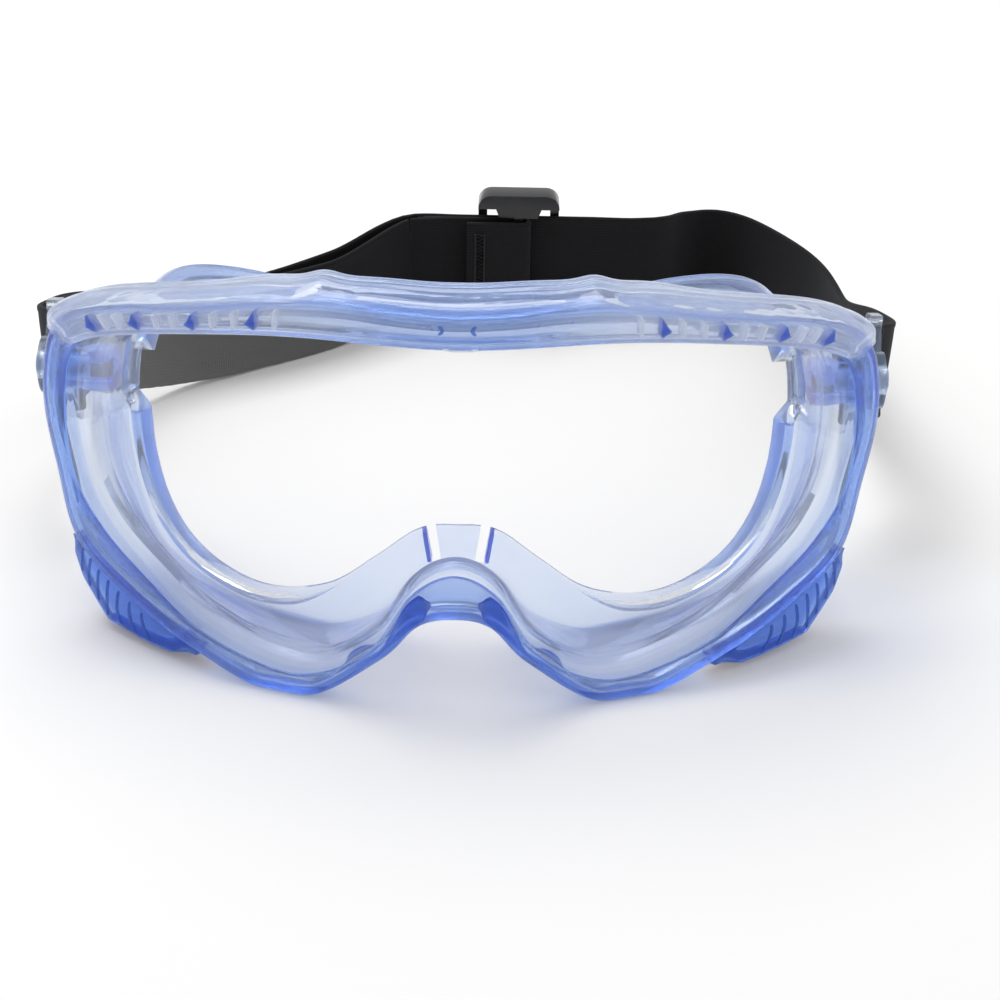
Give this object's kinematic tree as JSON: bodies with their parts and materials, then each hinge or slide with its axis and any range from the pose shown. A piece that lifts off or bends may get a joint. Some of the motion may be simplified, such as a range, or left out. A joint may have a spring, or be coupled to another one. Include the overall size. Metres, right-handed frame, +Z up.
{
  "type": "safety goggles",
  "caption": "Wide-vision safety goggles: clear wrapped lens in a soft translucent blue frame, brow and cheek vent covers, pivoting strap clips and an adjustable elastic headband.",
  "frame": {"origin": "centre of the object's box, at the height of the surface that the goggles stand on", "axes": "+X to the viewer's right as the lens is faced, +Y from the lens to the back of the headband, +Z up"},
  "size_m": [0.1934, 0.209, 0.0837],
  "materials": {
    "frame_pvc": "soft translucent blue PVC, glossy",
    "lens": "clear polycarbonate, polished",
    "cover_pvc": "translucent blue, glossy",
    "vent_blue": "deeper translucent blue, glossy",
    "clip_clear": "clear, faintly blue",
    "pivot_nylon": "translucent, satin",
    "webbing": "black knitted elastic webbing",
    "slider_plastic": "black moulded nylon, satin",
    "thread": "black polyester thread"
  },
  "bodies": {
    "mask": {"face_seal_frame": "frame_pvc", "lens": "lens", "brow_vent_cover": "cover_pvc", "lower_vent_cover_left": "vent_blue", "lower_vent_cover_right": "vent_blue", "clip_pivot_left": "pivot_nylon", "clip_pivot_right": "pivot_nylon"},
    "headband": {"strap_clip_left": "clip_clear", "strap_clip_right": "clip_clear", "headband": "webbing", "band_tack_right": "thread"},
    "slider": {"headband_slider": "slider_plastic", "band_end_loop": "webbing", "band_tack_slider": "thread"}
  },
  "joints": [
    {"name": "headband_swing", "type": "hinge", "parent": "mask", "child": "headband", "pos_m": [0, -0.04826, 0.046], "axis": [1, 0, 0], "range_deg": [-24, 60]},
    {"name": "slider_slide", "type": "slide", "parent": "headband", "child": "slider", "axis": [1, 0, 0], "range_m": [-0.009, 0.02]}
  ]
}
